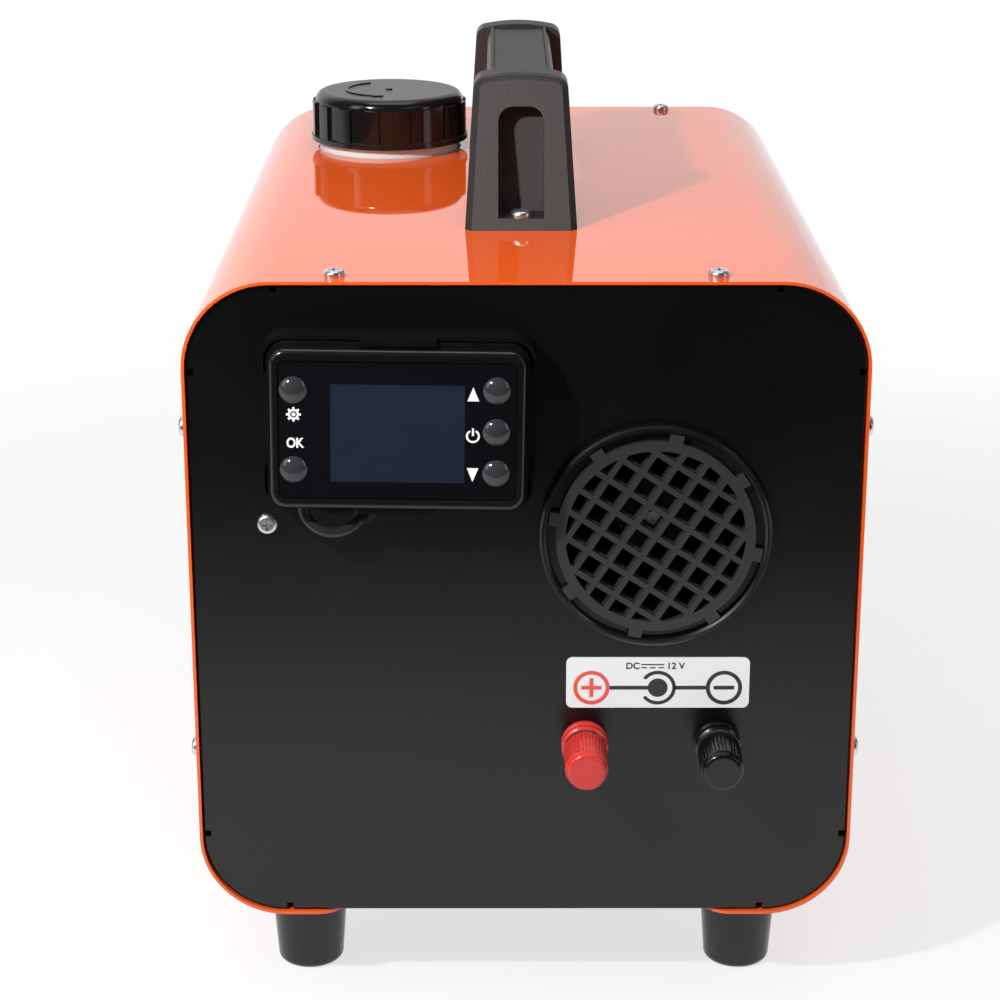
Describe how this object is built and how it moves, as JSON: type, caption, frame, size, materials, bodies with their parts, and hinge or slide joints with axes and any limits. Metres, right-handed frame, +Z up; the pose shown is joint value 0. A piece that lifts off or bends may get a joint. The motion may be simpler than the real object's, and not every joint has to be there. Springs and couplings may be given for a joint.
{
  "type": "diesel space heater",
  "caption": "Portable diesel air heater in a sheet-steel case with a tank, fuel cap, carry handle, wired controller, round air intake, binding posts and a ducted hot-air outlet.",
  "frame": {"origin": "on the floor, under the middle of the whole heater", "axes": "+Z up, -Y out of the front panel, +X to the right of someone facing the front"},
  "size_m": [0.2652, 0.436, 0.359],
  "materials": {
    "orange_paint": "gloss powder coat",
    "black_paint": "semi-gloss powder coat",
    "foot_plastic": "gloss",
    "screw_steel": "zinc plated",
    "handle_plastic": "fine grain",
    "controller_plastic": "satin",
    "button_plastic": "gloss",
    "display_glass": "high gloss",
    "display_module": "gloss",
    "circuit_board": "solder mask",
    "lead_rubber": "satin",
    "ring_plastic": "gloss",
    "grille_plastic": "satin",
    "label_film": "satin film",
    "red_plastic": "gloss",
    "black_plastic": "gloss",
    "terminal_brass": "nickel-washed",
    "tank_plastic": "natural, translucent",
    "cap_plastic": "gloss",
    "gasket_rubber": "matte",
    "strap_steel": "galvanised",
    "heater_plastic": "moulded",
    "cast_aluminium": "as cast",
    "burner_steel": "stainless",
    "fan_plastic": "moulded",
    "motor_steel": "plated",
    "pipe_steel": "stainless",
    "brass": "machined",
    "hose_rubber": "matte",
    "control_plastic": "moulded",
    "wire_plastic": "PVC",
    "grommet_rubber": "matte"
  },
  "bodies": {
    "root": {"case_shell": "orange_paint", "front_panel": "black_paint", "rear_panel": "black_paint", "base_tray": "black_paint", "foot_screws": "screw_steel", "case_screws": "screw_steel", "carry_handle": "handle_plastic", "controller_bracket": "controller_plastic", "controller_back": "controller_plastic", "controller_bezel": "controller_plastic", "display_window": "display_glass", "display_panel": "display_module", "controller_board": "circuit_board", "controller_cable": "lead_rubber", "cable_grommet": "grommet_rubber", "intake_ring": "ring_plastic", "intake_grille": "grille_plastic", "polarity_label": "label_film", "positive_collar": "red_plastic", "negative_collar": "black_plastic", "terminal_studs": "terminal_brass", "terminal_nuts": "screw_steel", "fuel_tank": "tank_plastic", "tank_straps": "strap_steel", "heater_lower_casing": "heater_plastic", "heater_upper_casing": "heater_plastic", "heat_exchanger": "cast_aluminium", "burner_tube": "burner_steel", "glow_plug": "burner_steel", "blower_motor": "motor_steel", "heater_bracket": "strap_steel", "exhaust_pipe": "pipe_steel", "air_pipe": "pipe_steel", "outlet_spigot": "black_paint", "pickup_fitting": "brass", "fuel_filter": "tank_plastic", "fuel_pump": "motor_steel", "pump_clamp": "gasket_rubber", "fuel_hoses": "hose_rubber", "control_unit": "control_plastic", "power_leads": "wire_plastic", "foot_front_left": "foot_plastic", "foot_front_right": "foot_plastic", "foot_rear_left": "foot_plastic", "foot_rear_right": "foot_plastic"},
    "rotor": {"fan_wheel": "fan_plastic", "fan_nut": "screw_steel", "motor_shaft": "motor_steel", "combustion_wheel": "cast_aluminium"},
    "cap_gasket": {"cap_gasket": "gasket_rubber"},
    "fuel_cap": {"fuel_cap": "cap_plastic"},
    "positive_washer": {"positive_washer": "terminal_brass"},
    "positive_knob": {"positive_knob": "red_plastic"},
    "negative_washer": {"negative_washer": "terminal_brass"},
    "negative_knob": {"negative_knob": "black_plastic"},
    "button_settings": {"button_settings": "button_plastic"},
    "button_ok": {"button_ok": "button_plastic"},
    "button_up": {"button_up": "button_plastic"},
    "button_power": {"button_power": "button_plastic"},
    "button_down": {"button_down": "button_plastic"}
  },
  "joints": [
    {"name": "rotor_spin", "type": "hinge", "parent": "root", "child": "rotor", "pos_m": [0.0498, -0.1, 0.1991], "axis": [0, 1, 0], "continuous": true},
    {"name": "cap_lift", "type": "slide", "parent": "root", "child": "cap_gasket", "axis": [0, 0, 1], "range_m": [0, 0.00902]},
    {"name": "cap_turn", "type": "hinge", "parent": "cap_gasket", "child": "fuel_cap", "pos_m": [-0.0618, 0.0829, 0.31], "axis": [0, 0, 1], "range_deg": [0, 540]},
    {"name": "positive_washer_slide", "type": "slide", "parent": "root", "child": "positive_washer", "axis": [0, -1, 0], "range_m": [0, 0.004]},
    {"name": "positive_knob_turn", "type": "hinge", "parent": "positive_washer", "child": "positive_knob", "pos_m": [0.0235, -0.2, 0.1121], "axis": [0, -1, 0], "range_deg": [0, 1441]},
    {"name": "negative_washer_slide", "type": "slide", "parent": "root", "child": "negative_washer", "axis": [0, -1, 0], "range_m": [0, 0.004]},
    {"name": "negative_knob_turn", "type": "hinge", "parent": "negative_washer", "child": "negative_knob", "pos_m": [0.0759, -0.2, 0.1121], "axis": [0, -1, 0], "range_deg": [0, 1441]},
    {"name": "button_settings_press", "type": "slide", "parent": "root", "child": "button_settings", "axis": [0, 1, 0], "range_m": [0, 0.001], "stiffness_N_per_m": 500, "springref_m": -0.0005},
    {"name": "button_ok_press", "type": "slide", "parent": "root", "child": "button_ok", "axis": [0, 1, 0], "range_m": [0, 0.001], "stiffness_N_per_m": 500, "springref_m": -0.0005},
    {"name": "button_up_press", "type": "slide", "parent": "root", "child": "button_up", "axis": [0, 1, 0], "range_m": [0, 0.001], "stiffness_N_per_m": 500, "springref_m": -0.0005},
    {"name": "button_power_press", "type": "slide", "parent": "root", "child": "button_power", "axis": [0, 1, 0], "range_m": [0, 0.001], "stiffness_N_per_m": 500, "springref_m": -0.0005},
    {"name": "button_down_press", "type": "slide", "parent": "root", "child": "button_down", "axis": [0, 1, 0], "range_m": [0, 0.001], "stiffness_N_per_m": 500, "springref_m": -0.0005}
  ],
  "couplings": [
    {"joint": "cap_lift", "follows": "cap_turn", "m_per_rad": 0.00095493},
    {"joint": "positive_knob_turn", "follows": "positive_washer_slide", "rad_per_m": 6283.2},
    {"joint": "negative_knob_turn", "follows": "negative_washer_slide", "rad_per_m": 6283.2}
  ]
}
